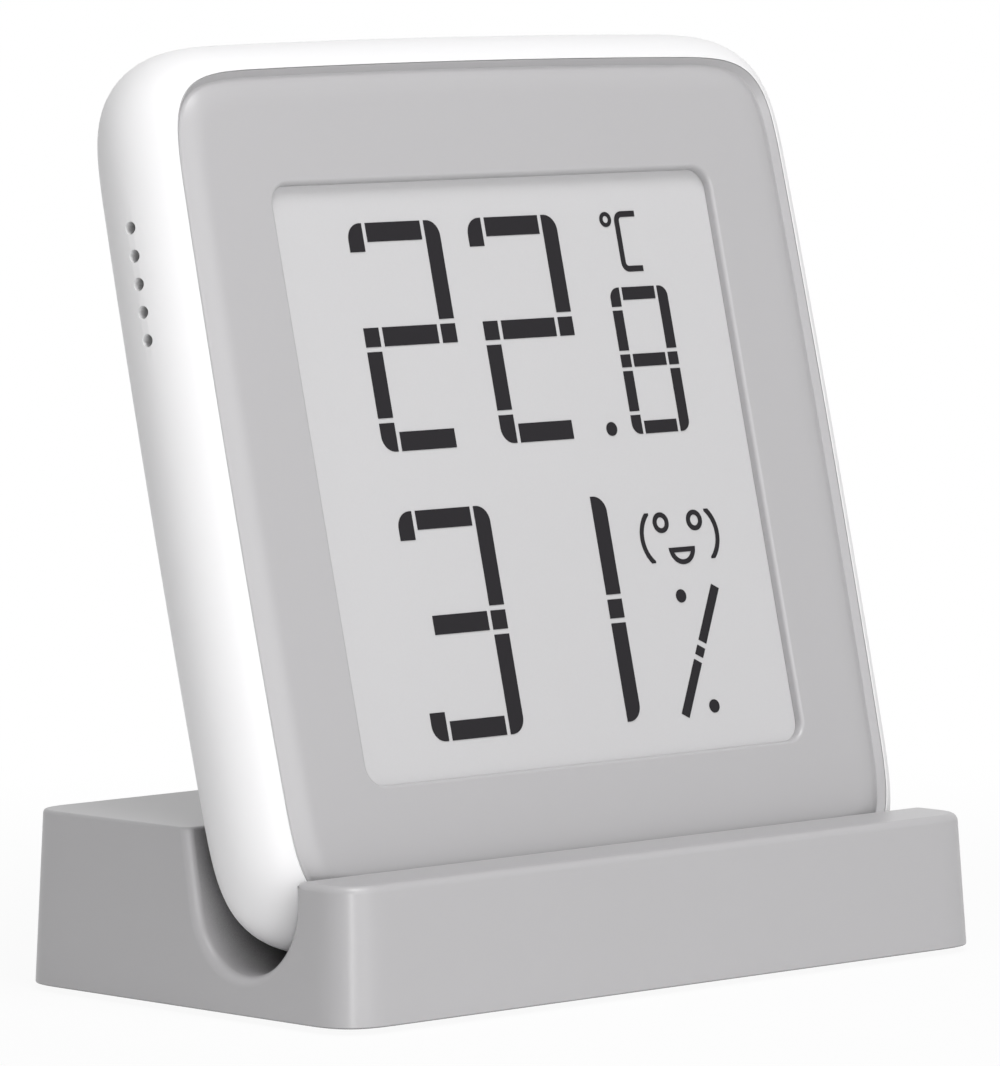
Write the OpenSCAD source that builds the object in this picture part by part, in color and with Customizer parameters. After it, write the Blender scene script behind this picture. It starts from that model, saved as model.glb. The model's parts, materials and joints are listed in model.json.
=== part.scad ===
// Desk thermometer and hygrometer. A flat sensor head with a segment display leans back in the
// slot of a small stand. The head is modelled upright, x to the right, y into its depth from the
// display face and z up from its lower edge, and head_frame() leans it into the stand.

/* [Stand] */
// Distance of the stand's sides, at its foot, inside the sides of the head
stand_inset = 0.75; // [0:0.05:2]
// Depth of the stand at its foot, front to back
stand_d = 35.6; // [34:0.2:44]
// Height of the block behind the head
back_h = 12.2; // [10.5:0.1:16]
// Height of the ledge in front of the head
ledge_h = 9.5; // [8:0.1:10.5]
// Depth of the ledge top, from its front edge to the slot
ledge_d = 5.65; // [5:0.05:8]
// Radius of the upright corners at the foot
stand_corner = 3.2; // [2:0.1:5]
// Draft of the stand's four sides, in degrees
draft = 3.15; // [1:0.05:5]
// Thickness of the stand's walls
stand_wall = 1.6; // [1.2:0.1:2]
// Thickness of the web under the slot
web_t = 1.15; // [0.8:0.05:2]
// Clearance between the head and the slot
seat_gap = 0.5; // [0.3:0.05:0.7]

/* [Stand underside] */
// Thickness of the base plate
base_t = 1.5; // [1.2:0.1:2]
// Width of the stand's rim around the base plate
base_rim = 1.2; // [0.8:0.1:1.4]
// Clearance around the base plate
base_gap = 0.1; // [0.05:0.05:0.3]
// Width of the rubber pad
pad_w = 40; // [24:1:42]
// Depth of the rubber pad, front to back
pad_d = 24; // [14:1:26]
// Thickness of the rubber pad
pad_t = 1; // [0.8:0.1:1.3]
// Height that the rubber pad stands proud of the stand
pad_proud = 0.4; // [0.2:0.1:0.6]
// Corner radius of the rubber pad
pad_corner = 3; // [1:0.5:6]
// Clearance around the rubber pad
pad_gap = 0.15; // [0.05:0.05:0.3]
// Distance of the stand screws from the stand's sides
stand_screw_x = 5.5; // [5:0.1:6.5]
// Distance of the stand screws from the stand's front and back
stand_screw_y = 4.4; // [4.2:0.1:5.5]
// Shank diameter of the stand screws
stand_screw_d = 2; // [1.6:0.1:2.2]
// Length of the stand screws under the head
stand_screw_l = 5; // [4:0.5:6]

/* [Head] */
// Width of the head
head_w = 61.5; // [59.5:0.5:73]
// Height of the head along its lean
head_h = 63.65; // [62:0.05:76]
// Thickness of the head from the display face to the back
head_d = 9; // [8.9:0.1:11]
// Corner radius of the head's outline
head_corner = 8; // [7:0.1:10]
// Lean of the head from upright, in degrees
lean = 13.25; // [5:0.25:18]
// Inset of the shell's front edge from the head's outline
rim_inset = 2.4; // [2:0.1:3]
// Width of the flat on the shell's front edge
rim_flat = 0.1; // [0.05:0.05:0.4]
// Depth of the shell's front edge behind the display face
rim_depth = 0.15; // [0.1:0.05:0.5]

/* [Shell] */
// Thickness of the shell's back wall
shell_wall = 1.4; // [1:0.1:1.5]
// Depth of the land that carries the bezel, behind the display face
land_depth = 1.4; // [1.3:0.05:1.4]
// Width of the land that carries the bezel
land_w = 1.1; // [0.8:0.1:1.5]
// Diameter of the vent holes
vent_d = 0.9; // [0.6:0.1:1.4]
// Spacing of the vent holes
vent_pitch = 1.95; // [1.5:0.05:2.5]
// Number of vent holes
vent_count = 5; // [1:1:7]
// Distance of the top vent hole below the head's upper edge
vent_drop = 12.75; // [10:0.25:16]
// Depth of the vent holes behind the display face
vent_depth = 3.5; // [3.5:0.1:6]

/* [Bezel] */
// Thickness of the bezel plate
bezel_t = 1.5; // [1.4:0.05:1.7]
// Distance of the groove round the face from the bezel's edge
ring_w = 0.9; // [0.7:0.05:1.2]
// Depth of the bezel's edge behind the display face
ring_edge = 0.1; // [0.05:0.05:0.3]
// Depth of the groove behind the display face
ring_groove = 0.9; // [0.4:0.05:0.95]
// Width of the bevel on the edge of the face
face_bevel = 1; // [0.4:0.05:1.4]
// Width of the head beside the window
window_side = 10.25; // [9.75:0.05:12]
// Height of the head above the window
window_top = 10.85; // [9.5:0.05:13]
// Height of the head below the window
window_sill = 11; // [10.5:0.05:13]
// Corner radius of the window
window_corner = 1.5; // [0.5:0.1:3]
// Thickness of the bezel at the window's edge
lip_t = 0.6; // [0.5:0.05:0.8]
// Thickness of the skirt behind the bezel
skirt_t = 1; // [0.8:0.1:1.2]
// Depth that the skirt reaches behind the display face
skirt_depth = 2.9; // [2.7:0.1:3.1]
// Clearance between the skirt and the shell
fit_gap = 0.15; // [0.1:0.05:0.25]
// Clearance between the bezel's edge and the shell's rim
edge_gap = 0.05; // [0.03:0.01:0.1]
// Length of the snap beads on the skirt
bead_l = 8; // [4:0.5:12]
// Height of the snap beads
bead_h = 0.4; // [0.3:0.05:0.5]

/* [Display] */
// Width of the panel's border outside the window
panel_border = 1.5; // [1.2:0.1:2]
// Height of the panel's ledge below the window
panel_ledge = 4.5; // [4:0.1:5]
// Thickness of the display panel
panel_t = 1; // [0.8:0.05:1.1]
// Thickness of the adhesive gasket in front of the panel
gasket_t = 0.15; // [0.1:0.05:0.2]
// Thickness of the foam behind the panel
foam_t = 0.5; // [0.45:0.05:0.7]
// Distance of the foam's edges inside the window
foam_margin = 2; // [1:0.1:8]
// Thickness of the display segments
ink_t = 0.05; // [0.03:0.01:0.08]
// Stroke of the large digits
digit_stroke = 1.35; // [0.8:0.05:1.8]
// Gap between the segments of a large digit
digit_gap = 0.35; // [0.15:0.05:0.4]
// Space between the two large digits of a row
digit_space = 2.6; // [1.5:0.1:3.5]
// Distance of the first digit from the window's left edge
digit_left = 6.75; // [4:0.05:7.5]
// Distance of the last digit from the window's right edge
digit_right = 5.35; // [3:0.05:7]
// Shift of the humidity digits to the right of the temperature digits
humid_shift = 0.2; // [0:0.05:0.5]
// Space below the humidity row
row_low = 2.6; // [1:0.1:4]
// Space between the two rows
row_space = 4.2; // [2:0.1:6]
// Space above the temperature row
row_high = 2.8; // [1:0.1:4]
// Width of the small digit
tenth_w = 5.5; // [4:0.1:6]
// Space between the large digits and the small digit
tenth_space = 4; // [2.5:0.1:5]
// Gap between the segments of the small digit
tenth_gap = 0.28; // [0.15:0.01:0.4]
// Stroke of the small digit
tenth_stroke = 0.92; // [0.6:0.02:1.2]
// Stroke of the unit marks and of the comfort face
mark_stroke = 0.42; // [0.3:0.02:0.6]
// Height of the unit mark above the small digit
mark_h = 4.4; // [3:0.1:5]
// Space between the small digit and the unit mark
mark_space = 1.1; // [0.5:0.1:2]
// Width of the flexible cable
flex_w = 14; // [8:0.5:18]
// Thickness of the flexible cable
flex_t = 0.12; // [0.1:0.01:0.2]

/* [Board] */
// Thickness of the circuit board
pcb_t = 1; // [0.8:0.1:1]
// Clearance between the board and the bezel's skirt
pcb_gap = 0.45; // [0.3:0.05:0.6]
// Corner radius of the board
pcb_corner = 2.5; // [1:0.1:4]
// Diameter of the bosses that carry the board
boss_d = 2.8; // [2.6:0.1:3]
// Distance of the bosses from the board's lower and upper edges
boss_inset = 3.2; // [2.4:0.1:6]
// Shank diameter of the board screws
pcb_screw_d = 1.4; // [1.2:0.1:1.6]
// Length of the board screws under the head
pcb_screw_l = 2.4; // [2:0.1:2.4]
// Width of the controller chip
chip_w = 6; // [4:0.5:7]
// Width of the climate sensor
sensor_w = 2.5; // [2:0.1:3]

/* [Battery] */
// Diameter of the coin cell
cell_d = 20; // [18:0.5:20.5]
// Thickness of the coin cell
cell_t = 3.2; // [2.5:0.1:3.2]
// Distance of the coin cell's centre below the head's upper edge
cell_drop = 30.4; // [29.4:0.1:33]
// Clearance around the coin cell
cell_gap = 0.2; // [0.1:0.05:0.4]
// Thickness of the holder's wall
holder_wall = 1.3; // [1:0.1:1.6]
// Width of the battery door's neck outside the coin cell
neck_w = 2; // [1.8:0.1:2.5]
// Width of the battery door's rim outside its neck
door_rim_w = 2; // [1.9:0.1:3]
// Thickness of the battery door's rim
door_rim_t = 0.7; // [0.5:0.05:0.8]
// Clearance around the battery door
door_gap = 0.2; // [0.15:0.05:0.4]
// Length of the coin slot in the door
coin_slot_l = 12; // [8:0.5:16]
// Width of the coin slot in the door
coin_slot_w = 1.8; // [1.2:0.1:2.4]
// Turn of the door from locked to free, in degrees
lock_turn = 30; // [24:1:40]

/* [Button] */
// Diameter of the unit button
button_d = 4; // [3:0.1:5]
// Distance of the unit button above the battery door
button_space = 5.5; // [4:0.1:6]
// Depth of the unit button below the back of the shell
button_sunk = 0.2; // [0:0.05:0.4]
// Clearance around the unit button
button_gap = 0.2; // [0.15:0.05:0.3]
// Travel of the unit button
button_travel = 0.3; // [0.2:0.05:0.3]

/* [Hidden] */

round_fn = 96;
small_fn = 48;
over = 1;
least_corner = 0.5;
slope = tan(draft);

// Edge of the head: an arc that meets the side and the back and ends at the shell's front edge
rim_h = head_d - rim_depth;
edge_r = rim_inset + rim_h - sqrt(2 * rim_inset * rim_h);
edge_y = head_d - edge_r;

// Slot of the stand, on the same axis as the head's lower edge
slot_r = edge_r + seat_gap;
slot_z = base_t + web_t + slot_r;
ledge_back = -stand_d / 2 + ledge_h * slope + ledge_d;
slot_y = ledge_back + slot_r / cos(lean) - (ledge_h - slot_z) * tan(lean);

// Stand outline, hollow and bosses
stand_w = head_w - 2 * stand_inset;
foot_w = stand_w - 2 * base_rim;
foot_d = stand_d - 2 * base_rim;
foot_corner = max(stand_corner - base_rim, least_corner);
hollow_w = stand_w - 2 * (stand_wall + back_h * slope);
hollow_d = stand_d - 2 * (stand_wall + back_h * slope);
hollow_h = back_h - stand_wall - base_t;
hollow_corner = max(stand_corner - stand_wall - back_h * slope, least_corner);
stand_boss_wall = 1.1;
stand_boss_d = stand_screw_d + 2 * stand_boss_wall;
stand_rib_w = 0.6 * stand_boss_d;
stand_head_d = 1.8 * stand_screw_d;
stand_head_h = 0.45 * stand_screw_d;
thread_gap = 0.02;
screw_gap = 0.15;

// Bezel and shell outlines
bezel_inset = rim_inset + rim_flat;
bezel_w = head_w - 2 * bezel_inset;
bezel_h = head_h - 2 * bezel_inset;
bezel_corner = head_corner - bezel_inset;
cavity_w = bezel_w - 2 * land_w;
cavity_h = bezel_h - 2 * land_w;
cavity_corner = max(bezel_corner - land_w, least_corner);
back_y = head_d - shell_wall;
bead_depth = 0.6;
bead_set = 0.3;
bead_y = skirt_depth - bead_depth - bead_set;
bead_gap = 0.15;
mid_z = head_h / 2;
window_w = head_w - 2 * window_side;
window_h = head_h - window_sill - window_top;
window_z = window_sill + window_h / 2;

// Display stack
panel_y = lip_t + gasket_t;
panel_w = window_w + 2 * panel_border;
panel_low = window_sill - panel_ledge;
panel_h = window_h + panel_ledge + panel_border;
panel_z = panel_low + panel_h / 2;
panel_gap = 0.2;
panel_corner = 1;
foam_y = panel_y + panel_t;
board_y = foam_y + foam_t;
parts_y = board_y + pcb_t;

// Digits and marks of the display
digit_h = (window_h - row_low - row_space - row_high) / 2;
digit_w = (window_w - digit_left - digit_space - tenth_space - tenth_w - digit_right) / 2;
tenth_h = digit_h - mark_space - mark_h;
point_r = 0.5;
mark_set = 1.6;
face_drop = 3.3;
face_h = 3.6;
face_space = 2;
percent_set = 0.4;

// Board outline and its bosses
board_w = cavity_w - 2 * (fit_gap + skirt_t + pcb_gap);
board_low = panel_low - panel_gap;
board_high = head_h - bezel_inset - land_w - fit_gap - skirt_t - pcb_gap;
board_h = board_high - board_low;
board_z = board_low + board_h / 2;
boss_clear = 0.1;
boss_x = window_w / 2 + panel_border + panel_gap + boss_clear + boss_d / 2;
boss_low = board_low + boss_inset;
boss_high = board_high - boss_inset;
boss_skin = 0.75;

// Flexible cable: a loop round the board's lower edge into its connector
connector_side = 1;
connector_w = flex_w + 2 * connector_side;
connector_d = 3.4;
connector_h = 1;
connector_rise = 2.6;
flex_rise = 0.3;
flex_back_y = parts_y + flex_rise;
flex_r = (flex_back_y + flex_t - foam_y) / 2;
flex_y = foam_y + flex_r;
flex_drop = 0.2;
flex_z = board_low - flex_drop;
flex_bond = 2.6;
connector_z = board_low + connector_rise;
flex_tongue = 1.6;
flex_mouth = 1;

// Battery parts
cell_z = head_h - cell_drop;
cell_step = 1.1;
cell_cap_t = 0.6;
holder_hole_d = 12;
holder_floor = 0.45;
cell_y = parts_y + holder_floor;
cell_top = cell_y + cell_t;
holder_in = cell_d / 2 + cell_gap;
holder_out = holder_in + holder_wall;
holder_h = 3;
contact_t = 0.22;
contact_gap = 0.05;
contact_w = 4;
contact_l = 10;
contact_dome_d = 3;
contact_foot = 2.5;
neck_r = cell_d / 2 + neck_w;
neck_d = 2 * neck_r;
door_d = neck_d + 2 * door_rim_w;
door_seat = 0.1;
door_rim_y = head_d - door_rim_t;
lug_h = 0.6;
lug_w = 4;
lug_reach = 1.4;
lug_gap = 0.2;
lug_y = back_y - lug_gap - lug_h;
notch_r = norm([neck_r + lug_reach, lug_w / 2]) + door_gap;
door_skirt = 1.1;
door_rib_in = 6.8;
door_rib_out = 8;
door_rib_gap = 0.1;
coin_slot_depth = 0.7;

// Button and switch
button_z = cell_z + door_d / 2 + button_space;
button_flange_h = 0.55;
button_flange_w = 0.9;
button_flange_gap = 0.15;
button_flange_y = back_y - button_flange_gap - button_flange_h;
switch_w = 4.2;
switch_h = 2.3;
plunger_d = 1.8;
plunger_gap = 0.12;
plunger_sunk = 0.6;
plunger_spare = 0.2;
switch_well = plunger_sunk + button_travel + plunger_spare;

// Climate sensor, level with the middle of the vent holes
vent_z = head_h - vent_drop - (vent_count - 1) * vent_pitch / 2;
sensor_side = 3.4;
sensor_x = -board_w / 2 + sensor_side;
sensor_h = 0.9;
sensor_port_depth = 0.3;
slit_w = 0.8;
slit_space = 1;

// Chips at the right of the battery
chip_side = 6.3;
chip_x = board_w / 2 - chip_side;
chip_drop = 11;
chip_z = cell_z - chip_drop;
chip_h = 0.85;
chip_dot_d = 0.6;
chip_dot_set = 0.9;
chip_dot_depth = 0.1;
crystal_w = 3.2;
crystal_l = 2.5;
crystal_h = 0.7;
crystal_rise = 7;
cap_l = 1.6;
cap_w = 0.8;
cap_h = 0.8;
cap_pitch = 2.2;
cap_space = 2;

module head_frame() {
  translate([0, slot_y, slot_z + pad_proud])
    rotate([-lean, 0, 0])
      translate([0, -edge_y, -edge_r])
        children();
}

// Rectangle with round corners, centred
module round_rect(w, h, r) {
  square([w - 2 * r, h], center = true);
  square([w, h - 2 * r], center = true);
  for (x = [-1, 1], y = [-1, 1])
    translate([x * (w / 2 - r), y * (h / 2 - r)])
      circle(r = r, $fn = small_fn);
}

// Upright plate with round corners, between two depths of the head
module plate(w, h, r, z, y0, y1) {
  translate([0, y1, z])
    rotate([90, 0, 0])
      linear_extrude(y1 - y0)
        round_rect(w, h, r);
}

// Upright block centred on x and z, between two depths of the head
module block(w, h, x, z, y0, y1) {
  translate([x - w / 2, y0, z - h / 2])
    cube([w, y1 - y0, h]);
}

// Round bar along the head's depth
module depth_rod(d, x, z, y0, y1, fn = small_fn) {
  translate([x, y0, z])
    rotate([-90, 0, 0])
      cylinder(d = d, h = y1 - y0, $fn = fn);
}

// Plate whose edge follows a profile (outward, depth) round a rectangle with round corners
module edged_plate(w, h, r, y0, y1) {
  x_mid = w / 2 - r;
  z_mid = h / 2 - r;
  rotate([-90, 0, 0]) {
    translate([-x_mid, -z_mid, y0])
      cube([2 * x_mid, 2 * z_mid, y1 - y0]);
    for (i = [0:3]) {
      reach = i % 2 == 0 ? x_mid : z_mid;
      run = i % 2 == 0 ? 2 * z_mid : 2 * x_mid;
      rotate([0, 0, 90 * i])
        translate([reach, run / 2, 0])
          rotate([90, 0, 0])
            linear_extrude(run)
              children();
    }
    for (i = [0:3])
      translate([(i == 0 || i == 3 ? 1 : -1) * x_mid, (i < 2 ? 1 : -1) * z_mid, 0])
        rotate([0, 0, 90 * i])
          rotate_extrude(angle = 90, $fn = round_fn)
            children();
  }
}

// Block with drafted sides and round upright corners
module drafted_block(w, d, h, r) {
  take = h * slope;
  rotate([90, 0, 0])
    linear_extrude(d - 2 * r, center = true)
      polygon([[-w / 2, 0], [w / 2, 0], [w / 2 - take, h], [take - w / 2, h]]);
  rotate([90, 0, 90])
    linear_extrude(w - 2 * r, center = true)
      polygon([[-d / 2, 0], [d / 2, 0], [d / 2 - take, h], [take - d / 2, h]]);
  for (x = [-1, 1], y = [-1, 1])
    translate([x * (w / 2 - r), y * (d / 2 - r), 0])
      cylinder(r1 = r, r2 = r - take, h = h, $fn = small_fn);
}

// Leaning slot with a round floor, right through the stand
module slot_cut(r) {
  translate([-stand_w, slot_y, slot_z])
    rotate([-lean, 0, 0])
      rotate([90, 0, 90])
        linear_extrude(2 * stand_w) {
          circle(r = r, $fn = round_fn);
          translate([-r, 0])
            square([2 * r, 2 * back_h]);
        }
}

// Space over the ledge, in front of the slot
module over_ledge(z) {
  translate([-stand_w, -stand_d, z])
    cube([2 * stand_w, stand_d + slot_y + (ledge_h - slot_z) * tan(lean), back_h]);
}

// Places of the stand screws, with y towards the nearer of the front and the back
module at_stand_screws() {
  for (x = [-1, 1], y = [0, 1])
    mirror([0, y, 0])
      translate([x * (stand_w / 2 - stand_screw_x), stand_d / 2 - stand_screw_y, 0])
        children();
}

module stand_hollow() {
  difference() {
    translate([0, 0, base_t])
      linear_extrude(hollow_h)
        round_rect(hollow_w, hollow_d, hollow_corner);
    slot_cut(slot_r + stand_wall);
    over_ledge(ledge_h - stand_wall);
    at_stand_screws() {
      cylinder(d = stand_boss_d, h = back_h, $fn = small_fn);
      translate([-stand_rib_w / 2, 0, 0])
        cube([stand_rib_w, stand_screw_y, back_h]);
    }
  }
}

module stand_body() {
  color("silver")
    translate([0, 0, pad_proud])
      difference() {
        drafted_block(stand_w, stand_d, back_h, stand_corner);
        slot_cut(slot_r);
        over_ledge(ledge_h);
        stand_hollow();
        translate([0, 0, -over])
          linear_extrude(base_t + over)
            round_rect(foot_w, foot_d, foot_corner);
        at_stand_screws()
          cylinder(d = stand_screw_d + 2 * thread_gap, h = stand_screw_l + over, $fn = small_fn);
      }
}

module base_plate() {
  color("silver")
    translate([0, 0, pad_proud])
      difference() {
        linear_extrude(base_t)
          round_rect(foot_w - 2 * base_gap, foot_d - 2 * base_gap, foot_corner);
        translate([0, 0, -over])
          linear_extrude(over + pad_t - pad_proud)
            round_rect(pad_w + 2 * pad_gap, pad_d + 2 * pad_gap, pad_corner + pad_gap);
        at_stand_screws() {
          translate([0, 0, -over])
            cylinder(d = stand_screw_d + 2 * screw_gap, h = base_t + 2 * over, $fn = small_fn);
          translate([0, 0, -over])
            cylinder(d = stand_head_d + 2 * screw_gap, h = over + stand_head_h, $fn = small_fn);
        }
      }
}

// Screw with a flat round head and a cross recess, head down, its head seat at z = 0
module screw(d, l, head_d, head_h) {
  recess = 0.5 * head_d;
  difference() {
    union() {
      translate([0, 0, -head_h])
        cylinder(d = head_d, h = head_h, $fn = small_fn);
      cylinder(d = d, h = l, $fn = small_fn);
    }
    for (turn = [0, 90])
      rotate([0, 0, turn])
        translate([-recess / 2, -recess / 8, -head_h - over])
          cube([recess, recess / 4, over + head_h / 2]);
  }
}

module stand_screws() {
  color("dimgray")
    translate([0, 0, pad_proud + stand_head_h])
      at_stand_screws()
        screw(stand_screw_d, stand_screw_l - stand_head_h, stand_head_d, stand_head_h);
}

module foot_pad() {
  color("darkslategray")
    linear_extrude(pad_t)
      round_rect(pad_w, pad_d, pad_corner);
}

module shell_profile() {
  flat = head_corner - edge_r;
  intersection() {
    union() {
      translate([0, rim_depth])
        square([flat, rim_h]);
      translate([flat, edge_y])
        circle(r = edge_r, $fn = round_fn);
    }
    translate([0, rim_depth])
      square([head_corner, rim_h]);
  }
}

// Turns about the head's depth, for what is spaced round the battery's centre
module round_cell(angle) {
  translate([0, 0, cell_z])
    rotate([0, angle, 0])
      children();
}

module at_skirt_sides() {
  side_x = cavity_w / 2 - fit_gap;
  side_z = cavity_h / 2 - fit_gap;
  for (i = [0:3])
    translate([0, 0, mid_z])
      rotate([0, 90 * i, 0])
        translate([i % 2 == 0 ? side_x : side_z, 0, 0])
          children();
}

module rear_shell() {
  color("white")
    head_frame()
      difference() {
        translate([0, 0, mid_z])
          edged_plate(head_w, head_h, head_corner, rim_depth, head_d)
            shell_profile();
        plate(bezel_w, bezel_h, bezel_corner, mid_z, -over, land_depth);
        plate(cavity_w, cavity_h, cavity_corner, mid_z, 0, back_y);
        depth_rod(door_d + 2 * door_gap, 0, cell_z, door_rim_y - door_seat, head_d + over, round_fn);
        depth_rod(neck_d + 2 * door_gap, 0, cell_z, 0, head_d, round_fn);
        for (i = [0:2])
          round_cell(lock_turn + 120 * i)
            block(lug_w + 2 * lug_gap, notch_r, 0, notch_r / 2, 0, door_rim_y);
        depth_rod(button_d + 2 * button_gap, 0, button_z, 0, head_d + over);
        for (i = [0:vent_count - 1])
          translate([-head_w / 2 - over, vent_depth, head_h - vent_drop - i * vent_pitch])
            rotate([0, 90, 0])
              cylinder(d = vent_d, h = head_w / 2, $fn = small_fn);
        at_skirt_sides()
          translate([0, bead_y - bead_gap, -bead_l / 2 - bead_gap])
            cube([bead_h + bead_gap, bead_depth + 2 * bead_gap, bead_l + 2 * bead_gap]);
      }
}

module bezel_profile() {
  edge = bezel_corner - edge_gap;
  ring_in = bezel_corner - ring_w;
  skirt_out = bezel_corner - land_w - fit_gap;
  skirt_in = skirt_out - skirt_t;
  polygon([
    [0, 0], [ring_in - face_bevel, 0], [ring_in, ring_groove], [edge, ring_edge],
    [edge, land_depth], [skirt_out, land_depth], [skirt_out, skirt_depth],
    [skirt_in, skirt_depth], [skirt_in, bezel_t], [0, bezel_t]
  ]);
}

module at_bosses() {
  for (x = [-1, 1], z = [boss_low, boss_high])
    translate([x * boss_x, 0, z])
      children();
}

module front_bezel() {
  color("gainsboro")
    head_frame()
      difference() {
        union() {
          translate([0, 0, mid_z])
            edged_plate(bezel_w, bezel_h, bezel_corner, 0, bezel_t)
              bezel_profile();
          at_skirt_sides()
            translate([-skirt_t / 2, bead_y, -bead_l / 2])
              cube([skirt_t / 2 + bead_h, bead_depth, bead_l]);
          at_bosses()
            depth_rod(boss_d, 0, 0, lip_t, board_y);
        }
        plate(window_w, window_h, window_corner, window_z, -over, bezel_t);
        plate(panel_w + 2 * panel_gap, panel_h + 2 * panel_gap, panel_corner + panel_gap,
              panel_z, lip_t, board_y);
        at_bosses()
          depth_rod(pcb_screw_d + 2 * thread_gap, 0, 0, boss_skin, board_y + over);
      }
}

module panel_gasket() {
  color("black")
    head_frame()
      difference() {
        plate(panel_w - 2 * panel_gap, panel_h - 2 * panel_gap, panel_corner, panel_z, lip_t, panel_y);
        plate(window_w + 2 * panel_gap, window_h + 2 * panel_gap, window_corner, window_z, 0, panel_y + over);
      }
}

module epaper_panel() {
  color("lightgray")
    head_frame()
      plate(panel_w, panel_h, panel_corner, panel_z, panel_y, foam_y);
}

// Bar of a digit from its lower left to its upper right corner
module bar(low, high) {
  translate(low)
    square(high - low);
}

// The same bar with one corner rounded
module corner_bar(low, high, r, right, top) {
  side = right ? high[0] - r : low[0] + r;
  level = top ? high[1] - r : low[1] + r;
  bar([right ? low[0] : side, low[1]], [right ? side : high[0], high[1]]);
  bar([low[0], top ? low[1] : level], [high[0], top ? level : high[1]]);
  intersection() {
    bar(low, high);
    translate([side, level])
      circle(r = r, $fn = small_fn);
  }
}

// Digit made of bars and corner blocks; lit names the ones that show
module digit(w, h, s, g, lit) {
  mid = (h - s) / 2;
  end_h = 1.5 * s;
  right = w - s;
  round_r = 0.85 * s;
  for (name = lit) {
    if (name == "top") bar([s + g, h - s], [right - g, h]);
    if (name == "middle") bar([s + g, mid], [right - g, mid + s]);
    if (name == "bottom") bar([s + g, 0], [right - g, s]);
    if (name == "top left corner") corner_bar([0, h - end_h], [s, h], round_r, false, true);
    if (name == "bottom left corner") corner_bar([0, 0], [s, end_h], round_r, false, false);
    if (name == "middle left") bar([0, mid], [s, mid + s]);
    if (name == "middle right") bar([right, mid], [w, mid + s]);
    if (name == "upper left") bar([0, mid + s + g], [s, h - end_h - g]);
    if (name == "lower left") bar([0, end_h + g], [s, mid - g]);
    if (name == "upper right") corner_bar([right, mid + s + g], [w, h], round_r, true, true);
    if (name == "lower right") corner_bar([right, 0], [w, mid - g], round_r, true, false);
  }
}

one_bars = ["upper right", "middle right", "lower right"];
two_bars = [
  "top left corner", "top", "upper right", "middle right", "middle", "middle left", "lower left",
  "bottom left corner", "bottom"
];
three_bars = [
  "top left corner", "top", "upper right", "middle right", "middle", "lower right", "bottom",
  "bottom left corner"
];
eight_bars = [
  "top left corner", "top", "upper right", "middle right", "middle", "middle left", "lower left",
  "bottom left corner", "bottom", "upper left", "lower right"
];

module ring(r, stroke) {
  difference() {
    circle(r = r, $fn = small_fn);
    circle(r = r - stroke, $fn = small_fn);
  }
}

// Degree ring and a square letter C, open to the right
module degree_mark() {
  mark_w = 2;
  mark_r = 0.7;
  degree_r = 0.55;
  degree_x = -0.85;
  translate([degree_x, mark_h - degree_r])
    ring(degree_r, 0.7 * mark_stroke);
  intersection() {
    square([mark_w, mark_h]);
    translate([mark_w, mark_h / 2])
      difference() {
        round_rect(2 * mark_w, mark_h, mark_r);
        round_rect(2 * (mark_w - mark_stroke), mark_h - 2 * mark_stroke, mark_r - mark_stroke);
      }
  }
}

// Comfort face: two brackets, two round eyes and a half-moon mouth
module comfort_face() {
  bracket_r = 2.55;
  bracket_x = 3.8;
  bracket_w = 1.1;
  eye_x = 1.62;
  eye_y = 1.05;
  eye_r = 0.75;
  mouth_w = 2.5;
  mouth_y = -0.8;
  thin = 0.85 * mark_stroke;
  for (side = [-1, 1]) {
    translate([side * eye_x, eye_y])
      ring(eye_r, thin);
    intersection() {
      translate([side * (bracket_x - bracket_r), 0])
        ring(bracket_r, thin);
      translate([side * bracket_x, 0])
        square([2 * bracket_w, face_h], center = true);
    }
  }
  translate([0, mouth_y])
    difference() {
      intersection() {
        circle(d = mouth_w, $fn = small_fn);
        translate([-mouth_w / 2, -mouth_w])
          square([mouth_w, mouth_w]);
      }
      intersection() {
        circle(d = mouth_w - 2 * thin, $fn = small_fn);
        translate([-mouth_w / 2, -mouth_w - thin])
          square([mouth_w, mouth_w]);
      }
    }
}

// Percent sign: a stroke in three pieces between two dots
module percent_mark() {
  rise = digit_h - face_drop - face_h / 2 - face_space;
  across = 4.9;
  stroke_w = 0.75;
  dot_r = 0.48;
  high_dot_x = 1.5;
  low_dot_x = 2.9;
  angle = atan2(rise, across);
  reach = norm([across, rise]);
  for (piece = [[0, 0.42], [0.46, 0.53], [0.57, 1]])
    rotate(angle)
      translate([piece[0] * reach, -stroke_w / 2])
        square([(piece[1] - piece[0]) * reach, stroke_w]);
  translate([high_dot_x, rise - dot_r])
    circle(r = dot_r, $fn = small_fn);
  translate([low_dot_x, dot_r])
    circle(r = dot_r, $fn = small_fn);
}

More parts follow.
